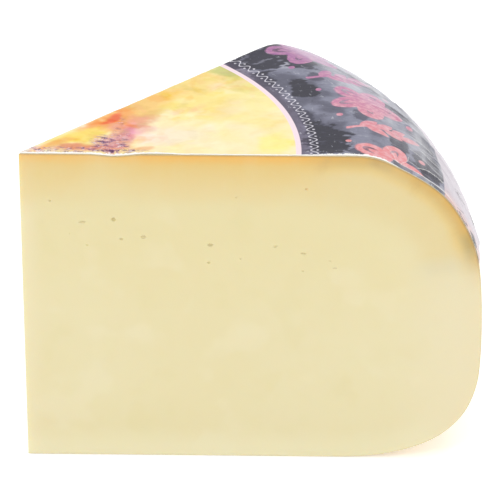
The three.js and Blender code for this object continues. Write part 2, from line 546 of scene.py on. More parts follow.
def fleck_density(x, y):
    """Where fine dark and pale flecks lie on the wash, 0 to 1."""
    rough = 0.5 * fnoise(x * 40, y * 55, 225, 3)
    out = np.zeros(len(x))
    for x0, y0, along, across, tilt, amount in (
        (0.196, 0.040, 0.052, 0.034, -50, 1.0),
        (0.222, 0.072, 0.030, 0.018, 70, 0.9),
        (0.100, 0.018, 0.105, 0.015, 2, 0.9),
        (0.240, 0.010, 0.050, 0.014, 0, 0.8),
        (0.205, 0.118, 0.050, 0.011, 80, 0.45),
        (0.050, 0.012, 0.050, 0.010, 8, 1.0),
    ):
        ct, st = math.cos(math.radians(tilt)), math.sin(math.radians(tilt))
        u, v = ((x - x0) * ct + (y - y0) * st) / along, (-(x - x0) * st + (y - y0) * ct) / across
        out = np.maximum(out, amount * step(1.35, 0.3, u * u + v * v + rough))
    return out * (0.45 + 0.55 * step(-0.25, 0.25, fnoise(x * 26, y * 30, 229, 2)))


# Dark patches of the slate field: degrees, s, half width in degrees, half height, strength.
PATCHES = [
    (6.5, 0.662, 7.0, 0.047, 1.0), (27.0, 0.682, 4.2, 0.030, 1.0), (43.5, 0.690, 6.5, 0.080, 0.95),
    (35.0, 0.628, 4.0, 0.018, 0.7), (4.8, 0.898, 5.0, 0.040, 0.9), (11.5, 0.905, 3.4, 0.026, 0.75),
    (37.5, 0.752, 4.0, 0.035, 0.8), (21.0, 0.868, 2.8, 0.036, 0.6), (0.5, 0.760, 3.0, 0.050, 0.5),
    (32.0, 0.880, 4.5, 0.030, 0.55), (9.0, 0.832, 3.4, 0.026, 0.75), (16.0, 0.640, 6.0, 0.013, 0.55),
    (25.0, 0.930, 6.0, 0.018, 0.5), (15.0, 0.760, 2.4, 0.020, 0.45), (31.0, 0.735, 2.0, 0.018, 0.4),
]  # fmt: skip


def slate_colour(s, deg, x, y):
    u, v = np.radians(deg), s
    wx = x + 0.02 * fnoise(x * 14, y * 14, 231, 3)
    cloud = fnoise(wx * 11, y * 11, 235, 5)
    c = np.tile((128.0, 129.0, 148.0), (len(s), 1))
    c = over(c, (170, 171, 184), step(0.0, 0.42, cloud))
    c = over(c, (88, 88, 107), step(-0.06, -0.36, cloud))
    rough = 0.30 * fnoise(u * 70 + v * 25, v * 55, 239, 3) + 0.42 * fnoise(u * 22, v * 22, 243, 3)
    for d0, s0, hd, hs, amount in PATCHES:
        rr = np.hypot((deg - d0) / hd, (s - s0) / hs) + rough
        c = over(c, (24, 22, 44), amount * step(1.03, 0.91, rr))
    # Dry brushing over it, lighter.
    dry = fnoise(u * 90 + v * 30, v * 34 - u * 12, 247, 3)
    c = over(c, (186, 188, 199), 0.55 * step(0.34, 0.62, dry) * step(-0.5, 0.3, cloud))
    c = over(c, (88, 74, 98), 0.55 * step(0.645, 0.610, s))
    return np.clip(c, 0, 255)


def print_sheen_amount(s, deg):
    """How far the print on the shoulder is lightened by a painted sheen, 0 to 1: the grazing reflection on the far
    shoulder, and streaky glints.
    """
    u, v = np.radians(deg), s
    streaky = 0.5 + 0.5 * fnoise(u * 9 + v * 4, v * 44 - u * 6, 251, 4)
    far = np.maximum(step(0.74, 0.93, s) * step(14, 36, deg), 0.95 * step(0.80, 0.90, s) * step(1.5, 7.0, deg) * step(0.15, 0.5, streaky))
    far = far * (1 + 0.7 * step(0.84, 0.92, s) * step(20, 34, deg))
    return (far * (0.15 + 0.85 * streaky) + 0.35 * step(0.55, 0.95, streaky) * step(0.74, 0.86, s)).clip(0, 1)


def lobe(u, v, a, b):
    """Nearly the signed distance to an ellipse."""
    q = np.hypot(u / a, v / b)
    return (q - 1) * q / np.maximum(np.hypot(u / a**2, v / b**2), 1e-6)


def leaf(u, v, length, half):
    """The same for a leaf along u from 0 to its length."""
    t = np.clip(u / length, 0, 1)
    w = half * np.sin(math.pi * t**0.85) ** 0.8
    return np.maximum(np.abs(v) - w, np.maximum(-u, u - length))


def blossom(x, y, size, turn):
    best = np.full(x.shape, 9.0)
    for k in range(5):
        t = 2 * math.pi * k / 5 + turn
        u, v = x * math.cos(t) + y * math.sin(t), -x * math.sin(t) + y * math.cos(t)
        best = np.minimum(best, lobe(u - 0.52 * size, v, 0.47 * size, 0.335 * size))
    around = np.arctan2(y, x)
    line = np.abs(best + 0.0105) - (0.0108 + 0.0034 * np.cos(around * 1.0 - 2.2))
    out = np.minimum(line, np.hypot(x, y) - 0.14 * size)
    for k in range(5):
        t = 2 * math.pi * k / 5 + turn
        u, v = x * math.cos(t) + y * math.sin(t), -x * math.sin(t) + y * math.cos(t)
        out = np.minimum(out, leaf(u - 0.22 * size, v, 0.44 * size, 0.0078))
    return out, best


def sprig(x, y, bend):
    """A leafy sprig that stands across the band, its foot towards the middle of the wheel."""
    mid = bend * np.sin((y + 0.085) / 0.170 * math.pi)
    out = np.maximum(np.abs(x - mid) - (0.0056 - 0.012 * (y + 0.085)).clip(0.0036), np.abs(y + 0.005) - 0.080)
    for k, (at, tilt, length) in enumerate(
        ((-0.052, 38, 0.054), (-0.038, -36, 0.058), (-0.014, 34, 0.052), (0.002, -33, 0.050), (0.024, 30, 0.042), (0.036, -28, 0.038))
    ):
        foot = bend * math.sin((at + 0.085) / 0.170 * math.pi)
        t = math.radians(90 - tilt)
        u = (x - foot) * math.cos(t) + (y - at) * math.sin(t)
        v = -(x - foot) * math.sin(t) + (y - at) * math.cos(t)
        out = np.minimum(out, leaf(u, v, length * 1.04, 0.0142 - 0.0007 * k))
    foot = bend * math.sin((0.055 + 0.085) / 0.170 * math.pi)
    return np.minimum(out, leaf(y - 0.050, x - foot * 0.8, 0.045, 0.0135))


def ornament(s, deg):
    """Nearly the signed distances to the band's flowers and sprigs, below zero inside
    them, and to the flowers' petals."""
    y = s - 0.797
    out, petals = np.full(s.shape, 1.0), np.full(s.shape, 1.0)
    for at, turn in ((0.4, 0.35), (20.9, 0.75), (41.4, 0.15)):
        line, inside = blossom(np.radians(deg - at) * 0.80, y + 0.002, 0.088, turn)
        out, petals = np.minimum(out, line), np.minimum(petals, inside)
    for at, bend in ((10.6, 0.012), (31.2, -0.012), (51.6, 0.012), (-10.0, -0.012)):
        out = np.minimum(out, 0.92 * sprig(np.radians(deg - at) * 0.80 / 0.92, y / 0.98, bend))
    for at, h, r in ((5.2, 0.084, 0.0080), (16.0, 0.086, 0.0085), (25.6, 0.085, 0.0078), (36.4, 0.084, 0.0085),
                     (5.6, -0.086, 0.0066), (15.8, -0.084, 0.0076), (26.2, -0.086, 0.0070), (36.2, -0.083, 0.0076)):  # fmt: skip
        out = np.minimum(out, np.hypot(np.radians(deg - at) * 0.80, y - h) - r)
    return out, petals


# ---------------------------------------------------------------- the printed sheet
# Creases: points (how far along the sheet in mm, degrees), height, half width, and
# how white the print turns along them, partly cracked to bare paper and partly a painted highlight on the ridge.
CREASES = [
    ([(140, 20.6), (147, 19.4), (156, 16.2), (166, 12.2), (176, 9.0)], 0.60, 0.9, 0.5),
    ([(137, 2.2), (143, 0.95), (150, 0.85), (156, 0.72), (163, 0.74), (170, 0.5)], 0.34, 0.50, 1.0),
    ([(150, 28.0), (160, 26.5), (172, 26.0), (190, 27.0)], 0.50, 1.0, 0.35),
    ([(146, 33.5), (158, 32.0), (170, 32.6), (194, 31.2)], 0.55, 0.9, 0.45),
    ([(152, 39.0), (164, 38.0), (176, 38.4), (194, 37.0)], 0.45, 1.0, 0.4),
    ([(158, 23.0), (170, 21.4), (182, 21.8), (194, 20.8)], 0.55, 0.8, 0.5),
    ([(160, 16.9), (172, 15.4), (183, 15.8), (194, 15.0)], 0.40, 0.9, 0.4),
    ([(168, 6.6), (178, 5.4), (187, 5.6), (194, 5.1)], 0.40, 0.8, 0.5),
    ([(166, 42.6), (178, 41.8), (194, 42.3)], 0.40, 0.9, 0.4),
    ([(151, 12.9), (157, 11.4), (164, 8.4), (170, 6.9)], 0.30, 0.6, 0.5),
    ([(147, 8.2), (154, 6.1), (161, 4.2)], 0.22, 0.5, 0.45),
    ([(143, 24.6), (151, 23.2), (160, 19.6), (167, 17.9)], 0.30, 0.7, 0.7),
    ([(136, 30.9), (146, 30.0), (154, 27.2)], 0.22, 0.8, 0.6),
    ([(141, 1.3), (139.5, 3.2), (137, 5.4)], 0.15, 0.4, 0.45),
    ([(142, 1.0), (145.5, 3.0), (147, 5.2)], 0.15, 0.4, 0.40),
    ([(149, 2.4), (155, 3.6), (163, 3.2)], 0.18, 0.5, 0.8),
    ([(150, 43.5), (154, 35.0), (160, 26.0), (168, 18.5)], 0.25, 0.7, 0.55),
    ([(143, 44.0), (146, 36.0), (150, 28.5)], 0.20, 0.7, 0.5),
    ([(158, 44.5), (163, 35.0), (171, 25.0), (180, 18.0)], 0.28, 0.7, 0.4),
    ([(152, 9.8), (157, 7.6), (163, 6.4), (167, 3.0)], 0.20, 0.5, 0.5),
]


def crease_line(crease):
    return [(ps, math.radians(pa) * outline(ps)[0]) for ps, pa in crease[0]]


def to_line(x, y, line):
    """Distance from points to a polyline, signed by side, and the place along it, 0 to 1."""
    best = np.full(x.shape, 1e9)
    sign = np.ones(x.shape)
    at = np.zeros(x.shape)
    n = len(line) - 1
    for i in range(n):
        (x0, y0), (x1, y1) = line[i], line[i + 1]
        dx, dy = x1 - x0, y1 - y0
        t = np.clip(((x - x0) * dx + (y - y0) * dy) / (dx * dx + dy * dy), 0, 1)
        d = np.hypot(x - x0 - t * dx, y - y0 - t * dy)
        near = d < best
        best = np.where(near, d, best)
        at = np.where(near, (i + t) / n, at)
        sign = np.where(near, np.sign(dx * (y - y0) - dy * (x - x0)), sign)
    return best, sign, at


def sheet_height(s, a, off_front, off_back):
    """How far the sheet stands off the cheese, in mm, for places s along it at angle a."""
    r = outline(s)[..., 0]
    x, y = s, a * r.clip(20)  # a map that is true to size near the shoulder
    shoulder = step(124, 150, s)
    h = 0.04 + 0.04 * (1 + fnoise(s * np.cos(a) / 16, s * np.sin(a) / 16, 71, 2))
    near = 1 - 0.75 * np.exp(-((np.minimum(off_front, off_back) / 5.0) ** 2))
    h += shoulder * near * 0.15 * (1 + fnoise(x / 9, y / 13, 75, 3))
    h += step(160, 190, s) * near * 0.12 * (1 + fnoise(x / 14, y / 5, 79, 2))
    for crease in CREASES:
        points, high_, half = crease[:3]
        d, side, at = to_line(x, y, crease_line(crease))
        fade = np.sqrt(np.clip(4 * at * (1 - at), 0, 1)) if points[-1][0] < 190 else np.sqrt(at)
        # One flank steep, the other long, as a fold that leans over.
        w = np.where(side > 0, half, half * 2.6)
        h += high_ * fade * np.exp(-np.abs(d / w) ** 1.5)
    # Along the cuts the sheet waves up and down a little where the knife lifted it.
    for off, seed, flat_ in ((off_front, 83, 17.0), (off_back, 85, 21.0)):
        lift = np.exp(-((off / 3.2) ** 2))
        wave = 0.06 + 0.26 * step(0.0, 0.9, vnoise(s / flat_, 0.5 + 0 * s, seed))
        h += lift * (1 - 0.8 * shoulder) * (wave + 0.05 * vnoise(s / 2.6, 2.5 + 0 * s, seed + 1))
    # And round its outer edge, where it has come unstuck in places.
    end = np.exp(-(((SHEET_S - s).clip(0) / 4.0) ** 2))
    h += end * (0.08 + 0.35 * step(0.1, 0.9, vnoise(a * 9, 3.5 + 0 * a, 87)) * near)
    return h


def make_sheet():
    pitch = 0.63
    n_rows = int(SHEET_S / pitch)
    s_rows = np.linspace(0.9, SHEET_S, n_rows)
    att = {"s": [], "a": [], "fe": [], "be": []}
    rows, places = [], []
    for s in s_rows:
        r = float(outline(s)[0])
        # The knife's cut through the sheet is a little ragged.
        ragged = 0.6 + 0.9 * float(step(0.1, 0.7, vnoise(s / 14, 3.5, 90)))
        jag_f = ragged * (0.10 * vnoise(s / 1.1, 0.5, 91) + 0.12 * vnoise(s / 6.0, 4.5, 92))
        jag_b = ragged * (0.10 * vnoise(s / 1.1, 8.5, 93) + 0.12 * vnoise(s / 6.0, 2.5, 94))
        lo, hi = -float(jag_f) - 0.05, r * WEDGE + float(jag_b) + 0.05
        if hi - lo < 1.2:
            t = np.linspace(lo, hi, 3)
        else:
            n = max(2, int(round((hi - lo - 0.7) / pitch)))
            t = np.r_[lo, np.linspace(lo + 0.35, hi - 0.35, n + 1), hi]
        rows.append(list(range(len(att["s"]), len(att["s"]) + len(t))))
        places.append((t - lo) / (hi - lo))
        att["s"] += [s] * len(t)
        att["a"] += list(t / max(r, 0.9))
        att["fe"] += list(t - lo)
        att["be"] += list(hi - t)
    att = {k: np.array(v) for k, v in att.items()}
    s, a = att["s"].copy(), att["a"]
    # The sheet's outer edge runs a little in and out.
    edge = 1.2 * vnoise(a * 5, 6.5 + 0 * a, 95) + 0.35 * vnoise(a * 22, 1.5 + 0 * a, 96) + 0.12 * vnoise(a * 90, 7.5 + 0 * a, 97)
    s = s + edge * step(SHEET_S - 14, SHEET_S, s)
    r, z = outline(s).T
    n2 = outline_normal(s)
    h = sheet_height(s, a, att["fe"], att["be"])
    phi = a
    out = np.stack([n2[:, 0] * np.cos(phi), n2[:, 0] * np.sin(phi), n2[:, 1]], 1)
    base = np.stack([r * np.cos(phi), r * np.sin(phi), z], 1)
    lowv = base + out * h[:, None]
    worn = 0.25 + 0.35 * step(118, 136, s)
    thick = SHEET_T * (1 - worn * np.exp(-np.minimum(att["fe"], att["be"]) / 0.3))
    topv = lowv + out * thick[:, None]
    # The chip in the front top edge lets the sheet sag.
    for v in (lowv, topv):
        v[:, 2] -= 0.75 * np.exp(-(((v[:, 0] - 35.5) / 6.0) ** 2)) * step(5.0, 0.0, att["fe"]) * (s < 60)
    n = len(s)
    faces = []
    for k in range(len(rows) - 1):
        faces += zip_rows(rows[k], places[k], rows[k + 1], places[k + 1])
    under = [tuple(n + i for i in f[::-1]) for f in faces]
    loop = rows[0] + [x[-1] for x in rows[1:]] + rows[-1][-2::-1] + [x[0] for x in rows[-2:0:-1]]
    side = []
    for i in range(len(loop)):
        p, q = loop[i], loop[(i + 1) % len(loop)]
        side.append((p, q, n + q, n + p))

    # ---- what is printed where
    lines = [(to_line(att["s"], a * r.clip(20), crease_line(c)), c) for c in CREASES]
    (d2, sign2, t2), _ = lines[1]
    # Beyond the front pleat the sheet is folded over, so another stretch of the print shows.
    folded = (sign2 < 0) * step(0.06, 0.12, t2) * step(1.0, 0.96, t2)
    S, deg = att["s"] / R, np.degrees(a) + 8.0 * folded
    x, y = S * np.cos(np.radians(deg)), S * np.sin(np.radians(deg))
    inner = S < 0.6010
    paint = np.where(inner[:, None], 0.0, slate_colour(S, deg, x, y))
    paint[inner] = wash_colour(x[inner], y[inner])
    c = paint / 255
    paint = np.where(c <= 0.04045, c / 12.92, ((c + 0.055) / 1.055) ** 2.4)
    fleck = np.where(inner, fleck_density(x, y), 0.0)
    flower, petal = ornament(S, deg)
    # The nearest crease: signed distance, and how white it is.
    near, crack, weight = np.full(n, 1e9), np.zeros(n), np.zeros(n)
    for (d, sign, at), crease in lines:
        d = d * (0.45 if crease is CREASES[1] else 1.0)  # the pleat comes first
        sign = sign / (0.45 if crease is CREASES[1] else 1.0)
        closer = d < near
        near = np.where(closer, d, near)
        crack = np.where(closer, d * sign, crack)
        ends = step(0.0, 0.12, at) * (step(1.0, 0.88, at) if crease[0][-1][0] < 190 else 1.0)
        fades = step(27.0, 12.0, np.degrees(a)) * 0.75 + 0.25
        weight = np.where(closer, crease[3] * fades * ends * step(1.6, 0.9, d), weight)

    def both(v):
        return np.concatenate([v, v])

    attributes = {
        "s": both(att["s"]),
        "a": both(a),
        "fe": both(att["fe"]),
        "be": both(att["be"]),
        "under": np.r_[np.zeros(n), np.ones(n)],
        "flat": both(np.stack([s * np.cos(a), s * np.sin(a), 0 * s], 1) / R),
        "paint": both(paint),
        "fleck": both(fleck),
        "flower": both(flower),
        "petal": both(petal),
        "crack": both(crack),
        "crack_and_glint": both(weight),
        "shift": both(folded),
        # The painted sheen on the print; the folded strip by the front pleat is lightened too.
        "print_sheen": both(np.where(inner, 0.0, np.maximum(print_sheen_amount(S, deg), folded * (0.45 + 0.35 * vnoise(att["s"] / 5.0, 0.5 + 0 * a, 257))))),
    }
    return add_mesh("top_sheet", place(np.vstack([topv, lowv])), faces + under + side, attributes)


cheese = make_cheese()
sheet = make_sheet()


def fix_normals(ob):
    import bmesh

    bm = bmesh.new()
    bm.from_mesh(ob.data)
    bmesh.ops.recalc_face_normals(bm, faces=bm.faces)
    bm.to_mesh(ob.data)
    bm.free()
    ob.data.update()


fix_normals(cheese)
fix_normals(sheet)


# ---------------------------------------------------------------- materials
class Nodes:
    def __init__(self, name):
        self.mat = bpy.data.materials.new(name)
        self.mat.use_nodes = True
        self.t = self.mat.node_tree
        self.t.nodes.clear()
        self.out = self.t.nodes.new("ShaderNodeOutputMaterial")
        self.bsdf = self.t.nodes.new("ShaderNodeBsdfPrincipled")
        self.t.links.new(self.bsdf.outputs["BSDF"], self.out.inputs["Surface"])

    def put(self, value, socket):
        if isinstance(value, bpy.types.NodeSocket):
            self.t.links.new(value, socket)
        else:
            socket.default_value = value

    def attr(self, name, out="Fac"):
        n = self.t.nodes.new("ShaderNodeAttribute")
        n.attribute_name = name
        return n.outputs[out]

    def m(self, op, a, b=0.0, c=0.0, clamp=False):
        n = self.t.nodes.new("ShaderNodeMath")
        n.operation = op
        n.use_clamp = clamp
        for v, s in zip((a, b, c), n.inputs):
            self.put(v, s)
        return n.outputs[0]

    def vm(self, op, a, b=(0, 0, 0), scale=None):
        n = self.t.nodes.new("ShaderNodeVectorMath")
        n.operation = op
        self.put(a, n.inputs[0])
        if scale is not None:
            self.put(scale, n.inputs["Scale"])
        else:
            self.put(b, n.inputs[1])
        return n.outputs["Value"] if op in ("LENGTH", "DOT_PRODUCT", "DISTANCE") else n.outputs[0]

    def xyz(self, x, y, z=0.0):
        n = self.t.nodes.new("ShaderNodeCombineXYZ")
        for v, s in zip((x, y, z), n.inputs):
            self.put(v, s)
        return n.outputs[0]

    def split(self, v):
        n = self.t.nodes.new("ShaderNodeSeparateXYZ")
        self.put(v, n.inputs[0])
        return n.outputs

    def ramp(self, x, lo, hi, to_lo=0.0, to_hi=1.0, smooth=True):
        """x from lo..hi to to_lo..to_hi, held at the ends."""
        n = self.t.nodes.new("ShaderNodeMapRange")
        n.interpolation_type = "SMOOTHSTEP" if smooth else "LINEAR"
        n.clamp = True
        for v, s in zip((x, lo, hi, to_lo, to_hi), n.inputs[:5]):
            self.put(v, s)
        return n.outputs[0]

    def mix(self, a, b, f, blend="MIX"):
        n = self.t.nodes.new("ShaderNodeMix")
        n.data_type = "RGBA"
        n.blend_type = blend
        n.clamp_factor = True
        self.put(f, n.inputs["Factor"])
        self.put(a, n.inputs["A"] if "A" in n.inputs else n.inputs[6])
        for v, s in ((a, n.inputs[6]), (b, n.inputs[7])):
            self.put(v, s)
        return n.outputs[2]

    def noise(self, vec, scale, detail=2.0, rough=0.5, distort=0.0, out="Fac"):
        n = self.t.nodes.new("ShaderNodeTexNoise")
        n.noise_dimensions = "3D"
        self.put(vec, n.inputs["Vector"])
        n.inputs["Scale"].default_value = scale
        n.inputs["Detail"].default_value = detail
        n.inputs["Roughness"].default_value = rough
        n.inputs["Distortion"].default_value = distort
        return n.outputs["Fac" if out == "Fac" else "Color"]

    def voronoi(self, vec, scale, feature="F1", out="Distance", random=1.0):
        n = self.t.nodes.new("ShaderNodeTexVoronoi")
        n.feature = feature
        self.put(vec, n.inputs["Vector"])
        n.inputs["Scale"].default_value = scale
        n.inputs["Randomness"].default_value = random
        return n.outputs[out]

    def curve(self, x, stops):
        """A grey ramp through (position 0-1, value) stops."""
        n = self.t.nodes.new("ShaderNodeValToRGB")
        e = n.color_ramp.elements
        while len(e) > 1:
            e.remove(e[-1])
        e[0].position = stops[0][0]
        e[0].color = (stops[0][1],) * 3 + (1,)
        for p, v in stops[1:]:
            k = e.new(p)
            k.color = (v,) * 3 + (1,)
        self.put(x, n.inputs[0])
        return n.outputs["Color"]

    def colours(self, x, stops, mode="EASE"):
        n = self.t.nodes.new("ShaderNodeValToRGB")
        n.color_ramp.interpolation = mode
        e = n.color_ramp.elements
        while len(e) > 1:
            e.remove(e[-1])
        e[0].position, e[0].color = stops[0][0], stops[0][1]
        for p, v in stops[1:]:
            e.new(p).color = v
        self.put(x, n.inputs[0])
        return n.outputs["Color"]

    def object_mm(self):
        """Object position in mm."""
        n = self.t.nodes.new("ShaderNodeTexCoord")
        return self.vm("SCALE", n.outputs["Object"], scale=1000.0)

    def bump(self, height, strength, distance):
        n = self.t.nodes.new("ShaderNodeBump")
        n.inputs["Strength"].default_value = strength
        n.inputs["Distance"].default_value = distance
        self.put(height, n.inputs["Height"])
        return n.outputs["Normal"]

    def set(self, **values):
        for key, v in values.items():
            self.put(v, self.bsdf.inputs[key.replace("_", " ")])


def cheese_material():
    n = Nodes("cheese_paste_and_rind")
    p = n.object_mm()
    d = n.attr("depth")
    s = n.attr("along")
    skin = n.attr("skin")
    s01 = n.m("DIVIDE", s, LENGTH)

    # ---- the cut faces: pale butter paste, an orange zone under the outside
    cloud = n.noise(p, 0.012, 2.0, 0.5)
    fine = n.noise(p, 0.10, 3.0, 0.55)
    paste = n.mix(shade(236, 224, 177), shade(237, 226, 182), n.ramp(cloud, 0.35, 0.65))
    paste = n.mix(paste, shade(234, 221, 171), n.ramp(fine, 0.45, 0.8, 0.0, 0.3))
    blotch = n.noise(n.vm("ADD", p, (17.0, 0.0, 5.0)), 0.055, 2.0, 0.45)
    paste = n.mix(paste, shade(241, 231, 193), n.ramp(blotch, 0.56, 0.70, 0.0, 0.45))
    paste = n.mix(paste, shade(232, 220, 168), n.ramp(blotch, 0.42, 0.30, 0.0, 0.30))
    # A little yellower in the wheel's upper half.
    upper = n.m("MULTIPLY", n.ramp(d, 78.0, 30.0), n.ramp(s, 222.0, 196.0))
    paste = n.mix(paste, (0.995, 0.984, 0.935, 1), upper, "MULTIPLY")
    reach = n.attr("reach")  # mm from the sharp edge
    paste = n.mix(paste, shade(240, 228, 190), n.ramp(reach, R - 40, R - 8, 0.0, 0.8))
    paste = n.mix(paste, shade(238, 228, 187), n.ramp(reach, 9.0, 0.5, 0.0, 0.8))
    # How strong the orange zone is along the outline: strong under the top and the shoulder.
    strong = n.curve(
        s01,
        [
            (x / LENGTH, v)
            for x, v in (
                (0, 0.78), (9, 0.86), (18, 0.80), (30, 0.70), (42, 0.85), (58, 1.0),
                (74, 1.0), (90, 1.0), (104, 1.0), (125, 1.0), (150, 0.92), (168, 1.0),
                (187, 1.0), (194, 0.70), (200, 0.22), (208, 0.04), (LENGTH - 80, 0.0), (LENGTH, 0.03),
            )
        ],
    )  # fmt: skip
    wob = n.m("MULTIPLY_ADD", n.noise(p, 0.05, 2.0, 0.5), 7.0, -3.5)
    dd = n.m("ADD", d, n.m("MULTIPLY", wob, n.ramp(d, 0.5, 14.0)))
    zone = n.colours(
        n.m("DIVIDE", dd, 30.0, clamp=True),
        [
            (0.0, shade(232, 172, 88)), (0.035, shade(244, 191, 98)), (0.085, shade(241, 195, 110)),
            (0.15, shade(235, 202, 128)), (0.23, shade(234, 206, 137)), (0.43, shade(235, 213, 153)),
            (0.75, shade(235, 221, 170)), (1.0, shade(236, 224, 176)),
        ],
        "LINEAR",
    )  # fmt: skip
    tan = n.ramp(s, 98.0, 124.0)
    zone = n.mix(zone, (0.82, 0.90, 1.09, 1), n.m("MULTIPLY", tan, n.ramp(dd, 7.0, 1.5)), "MULTIPLY")
    zone = n.mix(zone, shade(233, 216, 164), n.m("MULTIPLY", tan, n.ramp(dd, 4.0, 10.0, 0.0, 0.75)))
    # Painted shade: the paste is darker and greyer just under the sheet's edge where the shoulder begins.
    shade_under_sheet_edge = n.m("MULTIPLY", n.ramp(n.m("ABSOLUTE", n.m("SUBTRACT", s, 135.0)), 7.0, 2.0), n.ramp(d, 5.0, 2.0))
    zone = n.mix(zone, (0.87, 0.90, 1.03, 1), shade_under_sheet_edge, "MULTIPLY")
    zone = n.mix(zone, (0.94, 1.00, 1.20, 1), n.ramp(s, 184.0, 196.0), "MULTIPLY")
    grey = n.m("MULTIPLY", n.ramp(n.m("ABSOLUTE", n.m("SUBTRACT", s, 186.0)), 8.0, 2.0), n.ramp(d, 6.0, 2.0))
    zone = n.mix(zone, (0.80, 0.88, 1.02, 1), grey, "MULTIPLY")
    fade = n.ramp(dd, 29.0, 16.0)
    drag = n.noise(n.xyz(n.m("MULTIPLY", s, 0.075), n.m("MULTIPLY", d, 0.045), 0.0), 1.0, 4.0, 0.55)
    strong = n.m("MULTIPLY", strong, n.ramp(drag, 0.30, 0.62, 0.88, 1.06))
    paste = n.mix(paste, zone, n.m("MULTIPLY", fade, strong))
    drag = n.m("MULTIPLY", n.ramp(drag, 0.56, 0.70), n.m("MULTIPLY", n.ramp(d, 12.0, 3.0), tan))
    paste = n.mix(paste, shade(208, 172, 112), n.m("MULTIPLY", drag, n.ramp(s, 196.0, 186.0, 0.0, 0.45)))
    # Painted light: the paste is lightened along the bottom edge, standing in for light thrown up from the white
    # floor.
    base = n.m("MULTIPLY", n.ramp(s, 262.0, 285.0), n.ramp(d, 14.0, 2.0))
    paste = n.mix(paste, shade(242, 234, 195), n.m("MULTIPLY", base, 0.8))
    # A thin dark line at the very edge, under the top and shoulder: partly the rind's own colour, partly painted
    # shadow under the sheet's edge.
    line = n.ramp(d, 0.7, 0.2)
    paste = n.mix(paste, shade(184, 128, 66), n.m("MULTIPLY", line, n.m("MULTIPLY", strong, 0.6)))

    # ---- the outside: rind under its thin clear coating
    q = n.xyz(n.m("MULTIPLY", n.attr("phi"), R), s, 0.0)
    patch = n.noise(q, 0.035, 3.0, 0.55)
    mott = n.noise(q, 0.20, 5.0, 0.65)
    rind = n.mix(shade(232, 195, 110), shade(242, 215, 146), n.ramp(patch, 0.36, 0.64))
    rind = n.mix(rind, shade(222, 180, 96), n.ramp(mott, 0.50, 0.68, 0.0, 0.50))
    rind = n.mix(rind, shade(245, 226, 170), n.ramp(mott, 0.44, 0.30, 0.0, 0.65))
    bands = n.noise(n.vm("MULTIPLY", q, (0.018, 0.42, 1.0)), 1.0, 4.0, 0.6)
    rind = n.mix(rind, shade(214, 173, 98), n.ramp(bands, 0.56, 0.72, 0.0, 0.25))
    specks = n.voronoi(q, 0.62)
    rind = n.mix(rind, shade(158, 112, 54), n.ramp(specks, 0.15, 0.06, 0.0, 0.75))
    scuffs = n.noise(n.vm("MULTIPLY", q, (0.12, 0.9, 1.0)), 1.0, 4.0, 0.65)
    rind = n.mix(rind, shade(250, 238, 200), n.ramp(scuffs, 0.64, 0.72, 0.0, 0.45))
    stain = n.noise(n.vm("ADD", q, (310.0, 90.0, 0)), 0.075, 4.0, 0.65)
    rind = n.mix(rind, shade(196, 148, 76), n.ramp(stain, 0.60, 0.70, 0.0, 0.32))
    rind = n.mix(rind, shade(176, 126, 60), n.m("MULTIPLY", n.ramp(s, 286.0, 312.0), n.ramp(mott, 0.40, 0.60, 0.0, 0.35)))
    # The rind is as pale as the paste where the knife has just gone through it.
    rind = n.mix(rind, shade(233, 220, 176), n.ramp(n.attr("knife"), 2.2, 0.4, 0.0, 0.9))
    n.set(Base_Color=n.mix(paste, rind, skin))

    pits = n.ramp(n.voronoi(q, 0.62), 0.20, 0.03)
    grain = n.noise(q, 0.9, 4.0, 0.65)
    on_rind = n.m("MULTIPLY_ADD", pits, -1.8, n.m("MULTIPLY_ADD", grain, 1.6, n.m("MULTIPLY", n.m("ADD", bands, scuffs), 1.0)))
    on_rind = n.m("MULTIPLY_ADD", patch, 5.0, n.m("MULTIPLY_ADD", mott, 3.0, on_rind))
    cutgrain = n.m("MULTIPLY", n.noise(p, 0.9, 3.0, 0.55), 0.35)
    height = n.m("ADD", n.m("MULTIPLY", on_rind, skin), cutgrain)
    n.set(Normal=n.bump(height, 0.42, 0.00022))
    rough = n.m("MULTIPLY_ADD", n.noise(p, 0.06, 3.0, 0.5), 0.16, 0.36)
    waxy = n.m("MULTIPLY_ADD", mott, 0.34, 0.14)
    n.set(Roughness=n.m("ADD", n.m("MULTIPLY", rough, n.m("SUBTRACT", 1.0, skin)), n.m("MULTIPLY", waxy, skin)))
    b = n.bsdf.inputs
    b["IOR"].default_value = 1.45
    b["Specular IOR Level"].default_value = 0.42
    b["Subsurface Weight"].default_value = 0.22
    b["Subsurface Radius"].default_value = (1.0, 0.62, 0.28)
    b["Subsurface Scale"].default_value = 0.005
    return n.mat


